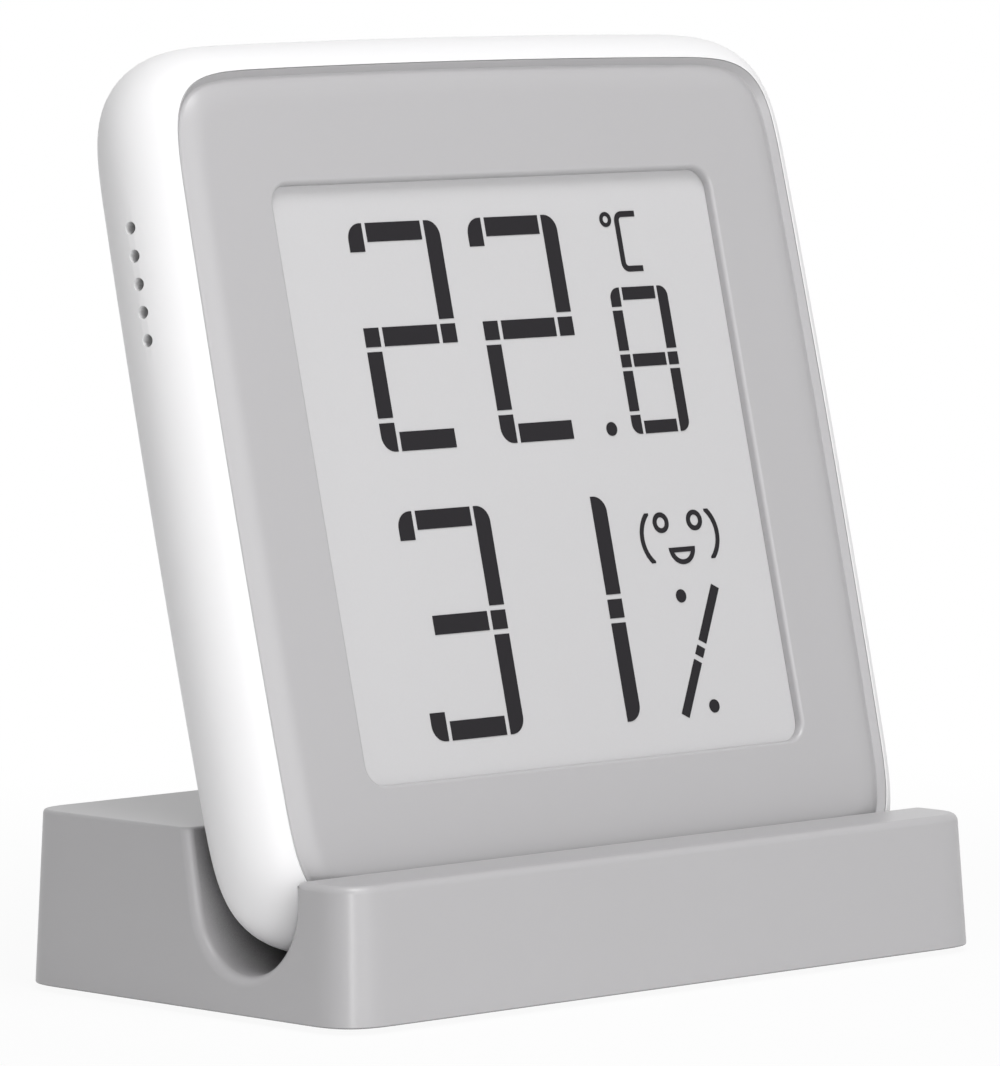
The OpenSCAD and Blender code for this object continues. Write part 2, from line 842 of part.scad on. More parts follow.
// The reading: 22.8 degrees over 31 percent, placed from the window's lower left corner
module reading() {
  digit_pitch = digit_w + digit_space;
  temp_row = row_low + digit_h + row_space;
  tenth_x = digit_left + digit_pitch + digit_w + tenth_space;
  translate([digit_left, temp_row]) {
    digit(digit_w, digit_h, digit_stroke, digit_gap, two_bars);
    translate([digit_pitch, 0])
      digit(digit_w, digit_h, digit_stroke, digit_gap, two_bars);
  }
  translate([tenth_x, temp_row])
    digit(tenth_w, tenth_h, tenth_stroke, tenth_gap, eight_bars);
  translate([tenth_x - tenth_space / 2, temp_row + point_r])
    circle(r = point_r, $fn = small_fn);
  translate([tenth_x + mark_set, temp_row + tenth_h + mark_space])
    degree_mark();
  translate([digit_left + humid_shift, row_low]) {
    digit(digit_w, digit_h, digit_stroke, digit_gap, three_bars);
    translate([digit_pitch, 0])
      digit(digit_w, digit_h, digit_stroke, digit_gap, one_bars);
  }
  translate([tenth_x + tenth_w / 2, row_low + digit_h - face_drop])
    comfort_face();
  translate([tenth_x + percent_set, row_low])
    percent_mark();
}

module display_segments() {
  color("darkslategray")
    head_frame()
      translate([-window_w / 2, panel_y, window_sill])
        rotate([90, 0, 0])
          linear_extrude(ink_t)
            reading();
}

module panel_foam() {
  color("dimgray")
    head_frame()
      block(window_w - 2 * foam_margin, window_h - 2 * foam_margin, 0, window_z, foam_y, board_y);
}

// Section of the flexible cable: along the panel, round the board's edge and into the connector
module flex_path() {
  translate([foam_y, flex_z])
    square([flex_t, panel_low + flex_bond - flex_z]);
  translate([flex_back_y, flex_z])
    square([flex_t, connector_z + flex_tongue - flex_z]);
  translate([flex_y, flex_z])
    difference() {
      circle(r = flex_r, $fn = small_fn);
      circle(r = flex_r - flex_t, $fn = small_fn);
      translate([-2 * flex_r, 0])
        square([4 * flex_r, 2 * flex_r]);
    }
}

module panel_flex() {
  color("peru")
    head_frame()
      translate([-flex_w / 2, 0, 0])
        rotate([90, 0, 90])
          linear_extrude(flex_w)
            flex_path();
}

module flex_connector() {
  slot_gap = 0.06;
  color("ivory")
    head_frame()
      difference() {
        block(connector_w, connector_d, 0, connector_z + connector_d / 2, parts_y, parts_y + connector_h);
        block(flex_w + 2 * slot_gap, flex_tongue + flex_mouth, 0,
              connector_z + (flex_tongue - flex_mouth) / 2 + slot_gap,
              flex_back_y - slot_gap, flex_back_y + flex_t + slot_gap);
      }
}

module main_board() {
  slit_l = sensor_w + 2 * slit_space;
  slit_x = sensor_x + sensor_w / 2 + slit_space + slit_w / 2;
  color("darkgreen")
    head_frame()
      difference() {
        plate(board_w, board_h, pcb_corner, board_z, board_y, parts_y);
        at_bosses()
          depth_rod(pcb_screw_d + 2 * screw_gap, 0, 0, board_y - over, parts_y + over);
        block(slit_w, slit_l, slit_x, vent_z, board_y - over, parts_y + over);
        for (side = [-1, 1])
          block(sensor_w + slit_space, slit_w, sensor_x, vent_z + side * (slit_l - slit_w) / 2,
                board_y - over, parts_y + over);
      }
}

module board_screws() {
  color("silver")
    head_frame()
      at_bosses()
        translate([0, parts_y, 0])
          rotate([90, 0, 0])
            screw(pcb_screw_d, pcb_screw_l, 1.75 * pcb_screw_d, 0.55 * pcb_screw_d);
}

module controller_chip() {
  color("black")
    head_frame()
      difference() {
        block(chip_w, chip_w, chip_x, chip_z, parts_y, parts_y + chip_h);
        depth_rod(chip_dot_d, chip_x - chip_w / 2 + chip_dot_set, chip_z + chip_w / 2 - chip_dot_set,
                  parts_y + chip_h - chip_dot_depth, parts_y + chip_h + over);
      }
}

module clock_crystal() {
  color("gold")
    head_frame()
      block(crystal_w, crystal_l, chip_x, chip_z + crystal_rise, parts_y, parts_y + crystal_h);
}

module capacitors() {
  color("tan")
    head_frame() {
      for (i = [0:3])
        block(cap_w, cap_l, chip_x + (i - 1.5) * cap_pitch, chip_z - chip_w / 2 - cap_space,
              parts_y, parts_y + cap_h);
      for (i = [0:3])
        block(cap_l, cap_w, -chip_x, chip_z + (i - 1.5) * cap_pitch, parts_y, parts_y + cap_h);
    }
}

module climate_sensor() {
  color("dimgray")
    head_frame()
      difference() {
        block(sensor_w, sensor_w, sensor_x, vent_z, parts_y, parts_y + sensor_h);
        depth_rod(0.4 * sensor_w, sensor_x, vent_z, parts_y + sensor_h - sensor_port_depth,
                  parts_y + sensor_h + over);
      }
}

module battery_holder() {
  spring_gap = 0.3;
  color("white")
    head_frame()
      difference() {
        depth_rod(2 * holder_out, 0, cell_z, parts_y, parts_y + holder_h, round_fn);
        depth_rod(2 * holder_in, 0, cell_z, cell_y, parts_y + holder_h + over, round_fn);
        depth_rod(holder_hole_d, 0, cell_z, parts_y - over, cell_y + over, round_fn);
        block(holder_out + over, contact_w + 2 * spring_gap, (holder_out + over) / 2, cell_z,
              parts_y - over, parts_y + holder_h + over);
      }
}

module negative_contact() {
  color("silver")
    head_frame() {
      block(contact_l, contact_w, 0, cell_z, parts_y, parts_y + contact_t);
      depth_rod(contact_dome_d, 0, cell_z, parts_y + contact_t, cell_y);
    }
}

module positive_contact() {
  leaf_x = cell_d / 2 + contact_gap;
  foot_l = holder_out + contact_foot - leaf_x;
  color("silver")
    head_frame() {
      block(contact_t, contact_w, leaf_x + contact_t / 2, cell_z, parts_y, parts_y + holder_h - 0.1);
      block(foot_l, contact_w, leaf_x + foot_l / 2, cell_z, parts_y, parts_y + contact_t);
    }
}

module coin_cell() {
  color("silver")
    head_frame() {
      depth_rod(cell_d - 2 * cell_step, 0, cell_z, cell_y, cell_y + cell_cap_t, round_fn);
      depth_rod(cell_d, 0, cell_z, cell_y + cell_cap_t, cell_top, round_fn);
    }
}

module switch_base() {
  color("dimgray")
    head_frame()
      difference() {
        block(switch_w, switch_w, 0, button_z, parts_y, parts_y + switch_h);
        depth_rod(plunger_d + 2 * plunger_gap, 0, button_z, parts_y + switch_h - switch_well,
                  parts_y + switch_h + over);
      }
}

module battery_door() {
  color("white")
    head_frame()
      difference() {
        union() {
          depth_rod(door_d, 0, cell_z, door_rim_y, head_d, round_fn);
          difference() {
            depth_rod(neck_d, 0, cell_z, lug_y, door_rim_y, round_fn);
            depth_rod(neck_d - 2 * door_skirt, 0, cell_z, lug_y - over, back_y, round_fn);
          }
          difference() {
            depth_rod(2 * door_rib_out, 0, cell_z, cell_top + door_rib_gap, back_y, round_fn);
            depth_rod(2 * door_rib_in, 0, cell_z, cell_top - over, back_y, round_fn);
          }
          for (i = [0:2])
            round_cell(120 * i)
              block(lug_w, lug_reach + door_skirt / 2, 0, neck_r + (lug_reach - door_skirt / 2) / 2,
                    lug_y, lug_y + lug_h);
        }
        block(coin_slot_l, coin_slot_w, 0, cell_z, head_d - coin_slot_depth, head_d + over);
      }
}

module unit_button() {
  color("silver")
    head_frame() {
      depth_rod(button_d, 0, button_z, button_flange_y + button_flange_h, head_d - button_sunk);
      depth_rod(button_d + 2 * button_flange_w, 0, button_z, button_flange_y, button_flange_y + button_flange_h);
    }
}

module switch_plunger() {
  color("black")
    head_frame()
      depth_rod(plunger_d, 0, button_z, parts_y + switch_h - plunger_sunk, button_flange_y);
}

stand_body();
base_plate();
stand_screws();
foot_pad();
rear_shell();
front_bezel();
panel_gasket();
epaper_panel();
display_segments();
panel_foam();
panel_flex();
flex_connector();
main_board();
board_screws();
controller_chip();
clock_crystal();
capacitors();
climate_sensor();
battery_holder();
negative_contact();
positive_contact();
coin_cell();
switch_base();
battery_door();
unit_button();
switch_plunger();
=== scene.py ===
import json
import math

import bmesh
import bpy
from mathutils import Matrix, Vector


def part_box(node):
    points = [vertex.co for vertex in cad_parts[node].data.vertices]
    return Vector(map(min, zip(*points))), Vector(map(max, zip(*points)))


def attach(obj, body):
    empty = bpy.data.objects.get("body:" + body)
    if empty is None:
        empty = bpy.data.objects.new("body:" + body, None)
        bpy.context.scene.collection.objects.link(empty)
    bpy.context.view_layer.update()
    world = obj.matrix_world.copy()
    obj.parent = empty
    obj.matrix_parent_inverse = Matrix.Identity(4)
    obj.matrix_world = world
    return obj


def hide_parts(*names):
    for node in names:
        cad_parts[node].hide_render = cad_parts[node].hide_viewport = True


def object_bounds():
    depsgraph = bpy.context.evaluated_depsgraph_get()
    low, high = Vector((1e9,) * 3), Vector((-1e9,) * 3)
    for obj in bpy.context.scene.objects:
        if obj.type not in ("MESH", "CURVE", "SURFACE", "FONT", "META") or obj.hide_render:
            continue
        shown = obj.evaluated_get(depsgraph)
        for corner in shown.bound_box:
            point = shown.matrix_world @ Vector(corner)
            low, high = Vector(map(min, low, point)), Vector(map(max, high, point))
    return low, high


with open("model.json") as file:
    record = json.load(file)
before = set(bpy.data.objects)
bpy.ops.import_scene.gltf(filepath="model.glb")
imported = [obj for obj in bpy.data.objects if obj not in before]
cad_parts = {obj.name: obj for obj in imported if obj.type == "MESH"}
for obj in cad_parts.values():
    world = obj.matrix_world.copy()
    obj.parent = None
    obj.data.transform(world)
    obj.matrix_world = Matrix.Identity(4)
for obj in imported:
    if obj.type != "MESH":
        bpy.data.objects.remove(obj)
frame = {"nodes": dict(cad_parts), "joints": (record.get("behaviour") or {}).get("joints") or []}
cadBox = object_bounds()
mm = 0.001
over = 1.0                # cutters reach this many millimetres past the piece they cut
print("frame loaded:", len(frame["nodes"]), "nodes")

# The head is built upright in millimetres: x right, y into its depth, z up from its lower edge
head = {
    "width": 61.499,
    "height": 63.65,
    "depth": 9.0,
    "reach": 11.5,        # how far from the corner the bezel's sides start to turn
    "power": 5.5,         # a higher power makes a squarer corner
    "bow": 0.35,          # sides fall back from their middle to their ends
    "rimInset": 2.4,      # the shell's front edge, in from the outline
    "rimDepth": 0.15,     # and behind the display face
    "rimFlat": 0.1,
    "doorHeight": 33.25,  # centre of the battery door above the lower edge
    "cornerSteps": 24,    # every loop of the bezel has as many points in its corners
    "sideSteps": 6,       # and along its sides
}
joints = {joint["name"]: joint for joint in frame["joints"]}
liftAxis = Vector(joints["head_lift"]["axis"])
lean = math.atan2(liftAxis.y, liftAxis.z)
headPlace = (
    Matrix.Translation(joints["door_twist"]["pos_m"])
    @ Matrix.Rotation(-lean, 4, "X")
    @ Matrix.Scale(mm, 4)
    @ Matrix.Translation((0, -head["depth"], -head["doorHeight"]))
)
bodyPlace = Matrix.Scale(mm, 4)


def cornerLoop(width, height, reach, power=2.0, bow=0.0, steps=14, sides=1):
    # outline with soft corners, where a power of 2 makes them round, centred
    halfWidth, halfHeight = width / 2, height / 2
    quarter = [(halfWidth, (halfHeight - reach) * i / sides) for i in range(sides)]
    for step in range(steps + 1):
        angle = math.radians(90 * step / steps)
        across = reach * abs(math.cos(angle)) ** (2 / power)
        up = reach * abs(math.sin(angle)) ** (2 / power)
        quarter.append((halfWidth - reach + across, halfHeight - reach + up))
    quarter += [((halfWidth - reach) * (1 - i / sides), halfHeight) for i in range(1, sides + 1)]
    quarter = [(x - bow * (z / halfHeight) ** 2, z - bow * (x / halfWidth) ** 2) for x, z in quarter]
    upper = quarter + [(-x, z) for x, z in quarter[-2::-1]]
    return upper + [(x, -z) for x, z in upper[-2:0:-1]]


def offsetLoop(loop, distance):
    # moves each point outwards, square to the outline
    moved = []
    for i, point in enumerate(loop):
        here = Vector(point)
        before = (here - Vector(loop[i - 1])).normalized()
        after = (Vector(loop[(i + 1) % len(loop)]) - here).normalized()
        along = (before + after).normalized()
        moved.append((here.x + distance * along.y, here.y - distance * along.x))
    return moved


def circleLoop(radius, steps=96):
    turn = 2 * math.pi / steps
    return [(radius * math.cos(turn * step), radius * math.sin(turn * step)) for step in range(steps)]


def arcPoints(midA, midB, radius, start, end, steps):
    # points of an arc from one angle to another, in degrees
    points = []
    for step in range(steps + 1):
        angle = math.radians(start + (end - start) * step / steps)
        points.append((midA + radius * math.cos(angle), midB + radius * math.sin(angle)))
    return points


def upright(loop, depth, midZ=0.0, midX=0.0):
    return [Vector((midX + x, depth, midZ + z)) for x, z in loop]


def flat(loop, height):
    return [Vector((x, y, height)) for x, y in loop]


def loft(loops, ring=False):
    # skin over loops with the same number of points, capped unless it closes on itself
    mesh = bmesh.new()
    rows = [[mesh.verts.new(point) for point in loop] for loop in loops]
    pairs = list(zip(rows, rows[1:]))
    if ring:
        pairs.append((rows[-1], rows[0]))
    for first, second in pairs:
        count = len(first)
        for i in range(count):
            j = (i + 1) % count
            mesh.faces.new((first[i], first[j], second[j], second[i]))
    if not ring:
        mesh.faces.new(rows[0][::-1])
        mesh.faces.new(rows[-1])
    bmesh.ops.recalc_face_normals(mesh, faces=mesh.faces)
    return mesh


def keepPiece(name, mesh, place):
    data = bpy.data.meshes.new(name)
    mesh.transform(place)
    mesh.to_mesh(data)
    mesh.free()
    piece = bpy.data.objects.new(name, data)
    bpy.context.scene.collection.objects.link(piece)
    return piece


def carve(piece, cutters, operation="DIFFERENCE"):
    # cuts the tools out of a piece, or joins them to it, and drops them
    for cutter in cutters:
        step = piece.modifiers.new("carve", "BOOLEAN")
        step.operation = operation
        step.solver = "EXACT"
        step.object = cutter
    bpy.context.view_layer.update()
    shaped = piece.evaluated_get(bpy.context.evaluated_depsgraph_get())
    plain = piece.data
    piece.data = bpy.data.meshes.new_from_object(shaped)
    piece.modifiers.clear()
    bpy.data.meshes.remove(plain)
    for cutter in cutters:
        bpy.data.objects.remove(cutter)


rounding = {
    "weld": 0.002,        # points this near to each other become one
    "flatAngle": 0.5,     # faces within this many degrees become one
    "sharpAngle": 35,     # only edges that turn by more degrees are rounded
    "creaseAngle": 32,    # and by more than this they are shaded as sharp
}


def roundEdges(piece, picks, steps):
    # rounds the edges that each pick names, where a pick is (size, test of the edge's middle)
    mesh = bmesh.new()
    mesh.from_mesh(piece.data)
    bmesh.ops.remove_doubles(mesh, verts=mesh.verts, dist=rounding["weld"] * mm)
    flatAngle, sharpAngle = math.radians(rounding["flatAngle"]), math.radians(rounding["sharpAngle"])
    bmesh.ops.dissolve_limit(mesh, angle_limit=flatAngle, verts=mesh.verts, edges=mesh.edges)
    for size, wanted in picks:
        edges = []
        for edge in mesh.edges:
            if len(edge.link_faces) == 2 and edge.calc_face_angle() > sharpAngle:
                middle = (edge.verts[0].co + edge.verts[1].co) / 2
                if wanted(middle / mm):
                    edges.append(edge)
        bmesh.ops.bevel(
            mesh, geom=edges, offset=size * mm, offset_type="OFFSET", segments=steps,
            profile=0.5, affect="EDGES", clamp_overlap=False,
        )
    mesh.to_mesh(piece.data)
    mesh.free()


def smoothPiece(piece):
    piece.data.shade_smooth()
    piece.data.set_sharp_from_angle(angle=math.radians(rounding["creaseAngle"]))
    weigh = piece.modifiers.new("even shading", "WEIGHTED_NORMAL")
    weigh.keep_sharp = True


# Rear shell: a round-edged tray that carries the bezel
shell = {
    "wall": 1.4,
    "landDepth": 1.4,
    "landWidth": 1.1,
    "ventDiameter": 0.9,
    "ventPitch": 1.95,
    "ventCount": 5,
    "ventDrop": 12.75,
    "ventDepth": 3.5,
    "ventSteps": 32,
    "edgeSteps": 22,
}

rimHeight = head["depth"] - head["rimDepth"]
edgeRadius = head["rimInset"] + rimHeight - math.sqrt(2 * head["rimInset"] * rimHeight)
edgeDepth = head["depth"] - edgeRadius
bezelInset = head["rimInset"] + head["rimFlat"]
headMid = head["height"] / 2
bezelEdge = cornerLoop(
    head["width"] - 2 * bezelInset, head["height"] - 2 * bezelInset, head["reach"], head["power"],
    head["bow"], head["cornerSteps"], head["sideSteps"],
)


def headLoop(inset, depth):
    return upright(offsetLoop(bezelEdge, bezelInset - inset), depth, headMid)


def depthRod(name, radius, low, high, midZ, midX=0.0, steps=96):
    loop = circleLoop(radius, steps)
    return keepPiece(name, loft([upright(loop, low, midZ, midX), upright(loop, high, midZ, midX)]), headPlace)


def makeShell():
    crest = -math.degrees(math.acos(1 - head["rimInset"] / edgeRadius))
    loops = []
    for side, depth in arcPoints(0, edgeDepth, edgeRadius, 90, crest, shell["edgeSteps"]):
        loops.append(headLoop(edgeRadius - side, depth))
    loops.append(headLoop(bezelInset, head["rimDepth"]))
    loops.append(headLoop(bezelInset, shell["landDepth"]))
    cavity = bezelInset + shell["landWidth"]
    floor = head["depth"] - shell["wall"]
    loops.append(headLoop(cavity, shell["landDepth"]))
    loops.append(headLoop(cavity, floor))
    piece = keepPiece("shell_moulding", loft(loops), headPlace)
    doorZ = head["doorHeight"]
    seat = head["depth"] - door["rim"] - door["seat"]
    past = head["depth"] + over
    inside = floor - over
    tools = [
        depthRod("door seat", door["radius"] + door["gap"], seat, past, doorZ),
        depthRod("door opening", door["neck"] + door["gap"], inside, past, doorZ),
        depthRod(
            "button hole", button["radius"] + button["gap"], inside, past, button["height"],
            steps=button["steps"],
        ),
    ]
    ventLoop = circleLoop(shell["ventDiameter"] / 2, shell["ventSteps"])
    reach = head["width"] / 2
    for i in range(shell["ventCount"]):
        z = head["height"] - shell["ventDrop"] - i * shell["ventPitch"]
        ends = [
            [Vector((x, shell["ventDepth"] + a, z + b)) for a, b in ventLoop]
            for x in (-reach - over, -reach + cavity + over)
        ]
        tools.append(keepPiece("vent hole", loft(ends), headPlace))
    carve(piece, tools)
    smoothPiece(piece)
    return piece


# Front bezel: a flat face behind a groove, with the display window
bezel = {
    "edgeGap": 0.01,
    "edgeDepth": 0.16,
    "edgeBreak": 0.06,
    "grooveIn": 0.5,      # middle of the groove from the bezel's edge
    "grooveHalf": 0.05,   # half the width of its floor
    "grooveDepth": 0.59,
    "faceIn": 2.45,       # start of the flat face from the bezel's edge
    "rollSteps": 10,
    "thickness": 1.5,
    "skirtGap": 0.15,
    "skirtWidth": 1.0,
    "skirtDepth": 2.9,
    "bossRadius": 1.4,
    "bossSide": 23.7,
    "bossLow": 9.5,
    "bossHigh": 52.2,
    "bossDepth": 2.25,
    "bossRoot": 0.3,      # the bosses start this far inside the bezel
    "bossSteps": 32,
}
window = {
    "width": 41.0,
    "height": 41.8,
    "sill": 11.0,
    "corner": 1.5,
    "edge": 0.3,
    "edgeSteps": 5,
    "lip": 0.6,
    "wallDepth": 0.72,    # the wall ends just over the panel
    "lipStep": 0.15,
    "pocketWidth": 44.4,
    "pocketHeight": 48.2,
    "pocketLow": 6.3,
    "pocketCorner": 1.2,
}


def makeBezel():
    windowMid = window["sill"] + window["height"] / 2

    def outer(inset, depth):
        return headLoop(bezelInset + inset, depth)

    def windowLoop(width, height, corner):
        return cornerLoop(width, height, corner, steps=head["cornerSteps"], sides=head["sideSteps"])

    def opening(grow, depth):
        loop = windowLoop(window["width"], window["height"], window["corner"])
        return upright(offsetLoop(loop, grow), depth, windowMid)

    def pocket(depth):
        loop = windowLoop(window["pocketWidth"], window["pocketHeight"], window["pocketCorner"])
        return upright(loop, depth, window["pocketLow"] + window["pocketHeight"] / 2)

    grooveOut = bezel["grooveIn"] - bezel["grooveHalf"]
    grooveIn = bezel["grooveIn"] + bezel["grooveHalf"]
    drop = bezel["grooveDepth"]
    loops = [outer(bezel["edgeGap"] + bezel["edgeBreak"], bezel["edgeDepth"])]
    loops.append(outer(grooveOut, drop))
    loops.append(outer(grooveIn, drop))
    # the face rolls over into the groove along a parabola
    reach = bezel["faceIn"] - grooveIn
    for i in range(1, bezel["rollSteps"] + 1):
        share = i / bezel["rollSteps"]
        loops.append(outer(grooveIn + reach * share, drop * (1 - share) ** 2))
    edge = window["edge"]
    for grow, depth in arcPoints(edge, edge, edge, 270, 180, window["edgeSteps"]):
        loops.append(opening(grow, depth))
    loops.append(opening(0, window["wallDepth"]))
    loops.append(opening(window["lipStep"], window["wallDepth"]))
    loops.append(opening(window["lipStep"], window["lip"]))
    loops.append(pocket(window["lip"]))
    loops.append(pocket(bezel["thickness"]))
    skirtOut = shell["landWidth"] + bezel["skirtGap"]
    skirtIn = skirtOut + bezel["skirtWidth"]
    loops.append(outer(skirtIn, bezel["thickness"]))
    loops.append(outer(skirtIn, bezel["skirtDepth"]))
    loops.append(outer(skirtOut, bezel["skirtDepth"]))
    loops.append(outer(skirtOut, shell["landDepth"]))
    loops.append(outer(bezel["edgeGap"], shell["landDepth"]))
    loops.append(outer(bezel["edgeGap"], bezel["edgeDepth"] + bezel["edgeBreak"]))
    piece = keepPiece("bezel_moulding", loft(loops, ring=True), headPlace)
    bosses = []
    for side in (-1, 1):
        for z in (bezel["bossLow"], bezel["bossHigh"]):
            bosses.append(depthRod(
                "boss", bezel["bossRadius"], bezel["thickness"] - bezel["bossRoot"], bezel["bossDepth"], z,
                side * bezel["bossSide"], bezel["bossSteps"],
            ))
    carve(piece, bosses, "UNION")
    smoothPiece(piece)
    return piece


# Stand: a drafted block with a leaning slot and a lower ledge in front
stand = {
    "backHeight": 12.2,
    "ledgeHeight": 9.5,
    "reach": 4.6,
    "power": 3.1,
    "draft": 3.15,
    "seatGap": 0.5,
    "edge": 0.25,
    "ledgeEdge": 0.55,
    "rimEdge": 0.75,      # round the slot's mouth on both sides
    "edgeSteps": 5,
    "footEdge": 0.14,
    "footSteps": 3,
    "rebateRim": 1.2,
    "rebateDepth": 1.5,
    "rebateCorner": 2.0,
    "slotSteps": 48,
    "near": 0.05,         # an edge this near to the slot's wall or the foot belongs to it
    "levelNear": 0.1,     # and this near to a level of the block
    "mouthIn": 1.5,       # edges of the slot's mouth lie this far from the sides at most
}


def makeStand():
    low, high = (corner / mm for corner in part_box("stand_body"))
    width, depth = high.x - low.x, high.y - low.y
    slope = math.tan(math.radians(stand["draft"]))
    loops = []
    for height in (0, stand["backHeight"]):
        take = height * slope
        outline = cornerLoop(width - 2 * take, depth - 2 * take, stand["reach"] - take, stand["power"])
        loops.append(flat(outline, low.z + height))
    piece = keepPiece("stand_moulding", loft(loops), bodyPlace)
    # the slot is on the same axis as the head's lower edge
    axis = headPlace @ Vector((0, edgeDepth, edgeRadius)) / mm
    radius = edgeRadius + stand["seatGap"]
    slotTop = 3 * radius  # well above the block
    outline = arcPoints(0, 0, radius, 180, 360, stand["slotSteps"])
    outline += [(radius, slotTop), (-radius, slotTop)]
    turn = Matrix.Rotation(-lean, 3, "X")
    sides = (-width, width)
    ends = [[axis + turn @ Vector((x, a, b)) for a, b in outline] for x in sides]
    slot = keepPiece("slot", loft(ends), bodyPlace)
    ledge = low.z + stand["ledgeHeight"]
    cutBack = axis.y + (ledge - axis.z) * math.tan(lean)
    front, top = low.y - over, high.z + over
    cut = [(front, ledge), (cutBack, ledge), (cutBack, top), (front, top)]
    ends = [[Vector((x, y, z)) for y, z in cut] for x in sides]
    overLedge = keepPiece("over ledge", loft(ends), bodyPlace)
    rim = 2 * stand["rebateRim"]
    rebateLoop = cornerLoop(width - rim, depth - rim, stand["rebateCorner"])
    ends = [flat(rebateLoop, low.z - over), flat(rebateLoop, low.z + stand["rebateDepth"])]
    rebate = keepPiece("rebate", loft(ends), bodyPlace)
    carve(piece, [slot, overLedge, rebate])
    foot = low.z + stand["near"]
    inner = low.z + stand["rebateDepth"] + stand["levelNear"]

    def atMouth(middle):
        along = turn.transposed() @ (middle - axis)
        off = abs(along.y) if along.z > 0 else math.hypot(along.y, along.z)
        return abs(off - radius) < stand["near"] and abs(middle.x) > width / 2 - stand["mouthIn"]

    def atLedge(middle):
        return abs(middle.z - ledge) < stand["levelNear"]

    def above(middle):
        return middle.z > inner

    def atFoot(middle):
        return middle.z < foot

    picks = [(stand["rimEdge"], atMouth), (stand["ledgeEdge"], atLedge), (stand["edge"], above)]
    roundEdges(piece, picks, stand["edgeSteps"])
    roundEdges(piece, [(stand["footEdge"], atFoot)], stand["footSteps"])
    smoothPiece(piece)
    return piece


# Battery door: a round cap with a coin slot, on a short neck
door = {
    "radius": 14.0,
    "rim": 0.7,
    "neck": 12.0,
    "neckWall": 1.1,
    "plate": 0.3,         # the middle is this much thicker than the rim
    "gap": 0.2,
    "seat": 0.1,
    "edge": 0.25,
    "edgeSteps": 4,
    "faceRing": 8.4,      # a loop on the flat outer face
    "hub": 0.02,          # radius at which the loops close
    "slotLength": 12.0,
    "slotWidth": 1.8,
    "slotDepth": 0.7,
    "slotFlat": 0.001,    # straight stretch in the slot's round ends, so that no points meet
    "slotSteps": 10,
    "skirt": 6.2,         # depth of the neck's inner end behind the display face
}


def makeDoor():
    top = head["depth"]
    edge = door["edge"]
    seat = top - door["rim"]
    rows = [(door["hub"], top), (door["faceRing"], top)]
    rows += arcPoints(door["radius"] - edge, top - edge, edge, 90, 0, door["edgeSteps"])
    rows += [(door["radius"], seat), (door["neck"], seat), (door["neck"], door["skirt"])]
    bore, plate = door["neck"] - door["neckWall"], seat - door["plate"]
    rows += [(bore, door["skirt"]), (bore, plate), (door["hub"], plate)]
    loops = [upright(circleLoop(radius), depth, head["doorHeight"]) for radius, depth in rows]
    piece = keepPiece("door_moulding", loft(loops), headPlace)
    slotEnd = door["slotWidth"] / 2 - door["slotFlat"]
    slotLoop = cornerLoop(door["slotLength"], door["slotWidth"], slotEnd, steps=door["slotSteps"])
    depths = (top - door["slotDepth"], top + over)
    ends = [upright(slotLoop, depth, head["doorHeight"]) for depth in depths]
    carve(piece, [keepPiece("coin slot", loft(ends), headPlace)])
    smoothPiece(piece)
    return piece


# Button: a crowned cap with a flange inside the shell
button = {
    "radius": 2.0,
    "gap": 0.2,
    "height": 52.75,
    "sunk": 0.2,
    "edge": 0.35,
    "edgeSteps": 5,
    "edgeStart": 80,      # the crown meets the edge at this angle
    "crown": 0.12,
    "ring": 1.0,          # a loop on the crown
    "ringDrop": 0.024,
    "flange": 0.9,
    "flangeTop": 0.15,    # the flange from the shell's inner face
    "flangeEnd": 0.7,
    "hub": 0.01,          # radius at which the loops close
    "steps": 48,
}


def makeButton():
    top = head["depth"] - button["sunk"]
    edge = button["edge"]
    inner = head["depth"] - shell["wall"]
    radius, flange = button["radius"], button["radius"] + button["flange"]
    flangeTop, flangeEnd = inner - button["flangeTop"], inner - button["flangeEnd"]
    edgeMid = top - button["crown"] - edge
    rows = [(button["hub"], top), (button["ring"], top - button["ringDrop"])]
    rows += arcPoints(radius - edge, edgeMid, edge, button["edgeStart"], 0, button["edgeSteps"])
    rows += [(radius, flangeTop), (flange, flangeTop), (flange, flangeEnd), (button["hub"], flangeEnd)]
    loops = [upright(circleLoop(side, button["steps"]), depth, button["height"]) for side, depth in rows]
    piece = keepPiece("button_cap", loft(loops), headPlace)
    smoothPiece(piece)
    return piece


# Foot pad: a thin sheet with a rounded lower edge
pad = {"corner": 3.0, "edge": 0.25, "edgeSteps": 4}


def makePad():
    low, high = (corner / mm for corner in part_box("foot_pad"))
    width, depth = high.x - low.x, high.y - low.y
    edge = pad["edge"]
    rows = arcPoints(edge, low.z + edge, edge, 270, 180, pad["edgeSteps"]) + [(0, high.z)]
    loops = []
    for inset, height in rows:
        loops.append(flat(cornerLoop(width - 2 * inset, depth - 2 * inset, pad["corner"] - inset), height))
    piece = keepPiece("pad_sheet", loft(loops), bodyPlace)
    smoothPiece(piece)
    return piece


class Wire:
    # a shader socket that takes part in sums
    def __init__(self, paint, socket):
        self.paint = paint
        self.socket = socket

    def math(self, operation, first, second):
        return self.paint.node("ShaderNodeMath", {"operation": operation}, {0: first, 1: second})

    def __add__(self, other):
        return self.math("ADD", self, other)

    def __radd__(self, other):
        return self.math("ADD", other, self)

    def __sub__(self, other):
        return self.math("SUBTRACT", self, other)

    def __rsub__(self, other):
        return self.math("SUBTRACT", other, self)

    def __mul__(self, other):
        return self.math("MULTIPLY", self, other)

    def __rmul__(self, other):
        return self.math("MULTIPLY", other, self)


